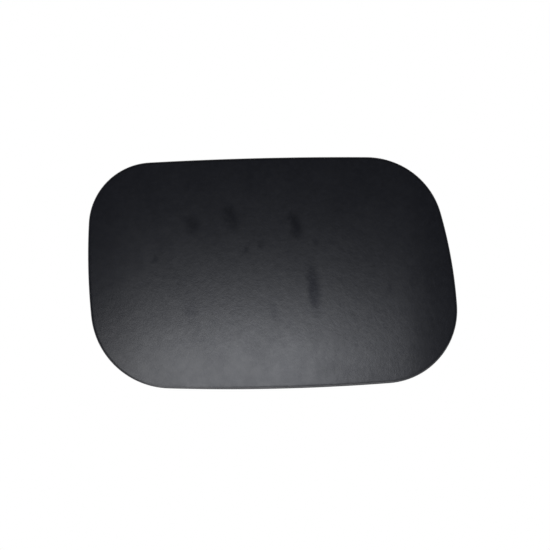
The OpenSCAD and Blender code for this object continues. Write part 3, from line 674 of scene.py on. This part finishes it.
smoothByAngle = makeSmoothGroup(solidCare)
solidFinish = {  # material and edge round in mm for each solid
    "inner_panel": (hiddenMaterial, 0), "hinge_arm": (hiddenMaterial, 0.18),
    "hinge_bracket": (hiddenMaterial, 0.2), "catch_plate": (hiddenMaterial, 0.2),
    "arm_rivet_1": (zincMaterial, 0), "arm_rivet_2": (zincMaterial, 0),
    "arm_rivet_3": (zincMaterial, 0), "arm_rivet_4": (zincMaterial, 0),
    "catch_rivet_1": (zincMaterial, 0), "catch_rivet_2": (zincMaterial, 0),
    "hinge_pin": (zincMaterial, 0), "pin_clip": (zincMaterial, 0.06),
    "bush_upper": (nylonMaterial, 0.1), "bush_lower": (nylonMaterial, 0.1),
    "bumper_upper": (rubberMaterial, 0), "bumper_lower": (rubberMaterial, 0),
    "cap_holder": (plasticMaterial, 0.25), "holder_clip_1": (plasticMaterial, 0),
    "holder_clip_2": (plasticMaterial, 0)}


def finishSolid(p, obj, material, edgeRound):
    weld = obj.modifiers.new("weldSeams", "WELD")
    weld.merge_threshold = p["weldWithin"]
    if edgeRound:
        flat = obj.modifiers.new("joinFlats", "DECIMATE")
        flat.decimate_type = "DISSOLVE"
        flat.angle_limit = math.radians(p["flatWithin"])
    smooth = obj.modifiers.new("smoothByAngle", "NODES")
    smooth.node_group = smoothByAngle
    if edgeRound:
        bevel = obj.modifiers.new("edgeRound", "BEVEL")
        bevel.limit_method = "ANGLE"
        bevel.angle_limit = math.radians(p["sharpFrom"])
        bevel.width = edgeRound * mm
        bevel.segments = p["roundSegments"]
        bevel.harden_normals = True
    weighted = obj.modifiers.new("evenNormals", "WEIGHTED_NORMAL")
    weighted.keep_sharp = True
    for slot in obj.material_slots:
        slot.material = material


for name, (material, edgeRound) in solidFinish.items():
    finishSolid(solidCare, nodes[name], material, edgeRound)
print("solids finished")


# Studio
studio = dict(
    floorDrop=-450, floorColour=(0.80, 0.80, 0.80, 1), floorRoughness=0.9,
    floorRings=(300, 900, 1800), floorSteps=96,  # radii of its rings of faces, mm
    floorFade=0.55,  # from this share of its radius outwards it fades into the room
    floorGlow=0.38,  # only what the camera and reflections see of the floor is lifted by this
    worldLight=0.9, darkFront=0.08,
    roomTurn=(-0.25, 0.45),  # dark in front (-1), light behind (1), with the change between these
    # softboxes: turn and tilt of the line to it in degrees, distance, width and height in metres,
    # brightness against a white wall, colour
    boxes={"windowBox": (-0.4, -4.9, 1.5, 0.44, 0.171, 14.1, (0.98, 1.0, 1.055)),
        "tableBox": (-18.7, -30.3, 0.6, 0.247, 0.627, 3.07, (0.99, 1.0, 1.02)),
        "underBox": (-15.0, -72.0, 0.4, 0.40, 0.22, 2.6, (1.0, 1.0, 1.0)),
        "backBox": (150.0, 38.0, 1.0, 0.5, 0.5, 2.8, (1.0, 1.0, 1.0))})


def makeFloor(p):
    size = p["floorSteps"]
    turns = [2 * math.pi * k / size for k in range(size)]
    verts = [Vector((panelMiddle.x, 0, p["floorDrop"]))]
    for r in p["floorRings"]:
        verts += [Vector((panelMiddle.x + r * math.cos(a), r * math.sin(a), p["floorDrop"])) for a in turns]
    faces = [(0, 1 + j, 1 + (j + 1) % size) for j in range(size)]
    for i in range(len(p["floorRings"]) - 1):
        a, b = 1 + i * size, 1 + (i + 1) * size
        faces += [(a + j, b + j, b + (j + 1) % size, a + (j + 1) % size) for j in range(size)]
    material, tree, shader = startMaterial("paleFloor", Roughness=p["floorRoughness"])
    shader.inputs["Base Color"].default_value = p["floorColour"]
    clear = addNode(tree, "ShaderNodeBsdfTransparent", 0, 300)
    under = addNode(tree, "ShaderNodeNewGeometry", -300, 500).outputs["Backfacing"]
    place = addNode(tree, "ShaderNodeTexCoord", -900, 500).outputs["Object"]
    far = addNode(tree, "ShaderNodeVectorMath", -700, 500, operation="LENGTH")
    tree.links.new(place, far.inputs[0])
    rim = p["floorRings"][-1] * mm
    edge = remap(tree, -500, 300, far.outputs["Value"], rim * p["floorFade"], rim)
    gone = mathNode(tree, -100, 450, "MAXIMUM", under, edge)
    rays = addNode(tree, "ShaderNodeLightPath", -700, -200)
    mirrored = mathNode(tree, -500, -300, "ADD", rays.outputs["Is Glossy Ray"],
        rays.outputs["Is Transmission Ray"])
    seen = mathNode(tree, -300, -200, "ADD", mirrored, rays.outputs["Is Camera Ray"], clamp=True)
    tree.links.new(seen, shader.inputs["Emission Color"])
    shader.inputs["Emission Strength"].default_value = p["floorGlow"]
    mix = addNode(tree, "ShaderNodeMixShader", 300, 200)
    tree.links.new(gone, mix.inputs[0])
    tree.links.new(shader.outputs[0], mix.inputs[1])
    tree.links.new(clear.outputs[0], mix.inputs[2])
    tree.links.new(mix.outputs[0], tree.nodes["Material Output"].inputs["Surface"])
    floor = makeObject("paleFloor", verts, faces, material)
    if floor.data.polygons[0].normal.z < 0:
        floor.data.flip_normals()


def makeWorld(p):
    world = bpy.data.worlds.new("softRoom")
    world.use_nodes = True
    bpy.context.scene.world = world
    tree = world.node_tree
    tree.nodes.clear()
    direction = addNode(tree, "ShaderNodeTexCoord", -1000, 0).outputs["Generated"]
    split = addNode(tree, "ShaderNodeSeparateXYZ", -800, 0)
    tree.links.new(direction, split.inputs[0])
    room = remap(tree, -600, 0, split.outputs["Y"], *p["roomTurn"], p["darkFront"], p["worldLight"])
    light = addNode(tree, "ShaderNodeBackground", -300, 0)
    tree.links.new(room, light.inputs["Color"])
    seenLight = addNode(tree, "ShaderNodeBackground", -300, -200)
    seen = remap(tree, -600, -200, split.outputs["Y"], *p["roomTurn"], p["darkFront"], 1.0)
    tree.links.new(seen, seenLight.inputs["Color"])
    white = addNode(tree, "ShaderNodeBackground", -300, -400)
    white.inputs["Color"].default_value = (1, 1, 1, 1)
    rays = addNode(tree, "ShaderNodeLightPath", -600, 500)
    mirrored = mathNode(tree, -300, 300, "ADD", rays.outputs["Is Glossy Ray"],
        rays.outputs["Is Transmission Ray"], clamp=True)
    first = addNode(tree, "ShaderNodeMixShader", 0, 0)
    tree.links.new(mirrored, first.inputs[0])
    tree.links.new(light.outputs[0], first.inputs[1])
    tree.links.new(seenLight.outputs[0], first.inputs[2])
    second = addNode(tree, "ShaderNodeMixShader", 200, 0)
    tree.links.new(rays.outputs["Is Camera Ray"], second.inputs[0])
    tree.links.new(first.outputs[0], second.inputs[1])
    tree.links.new(white.outputs[0], second.inputs[2])
    tree.links.new(second.outputs[0], addNode(tree, "ShaderNodeOutputWorld", 400, 0).inputs["Surface"])


# A softbox on the line from the panel that a turn and a tilt name, facing back at it
def makeSoftbox(name, turn, tilt, distance, width, height, radiance, colour):
    a, e = math.radians(turn), math.radians(tilt)
    outward = Vector((math.sin(a) * math.cos(e), -math.cos(a) * math.cos(e), math.sin(e)))
    data = bpy.data.lights.new(name, "AREA")
    data.shape = "RECTANGLE"
    data.size, data.size_y = width, height
    data.energy = radiance * math.pi * width * height
    data.color = colour
    lamp = bpy.data.objects.new(name, data)
    lamp.rotation_mode = "QUATERNION"
    lamp.location = panelMiddle * mm + outward * distance
    lamp.rotation_quaternion = outward.to_track_quat("Z", "Y")
    lamp.visible_camera = False
    bpy.context.scene.collection.objects.link(lamp)


makeFloor(studio)
makeWorld(studio)
for name, values in studio["boxes"].items():
    makeSoftbox(name, *values)
bpy.context.scene.view_settings.view_transform = "Standard"
print("studio lit")
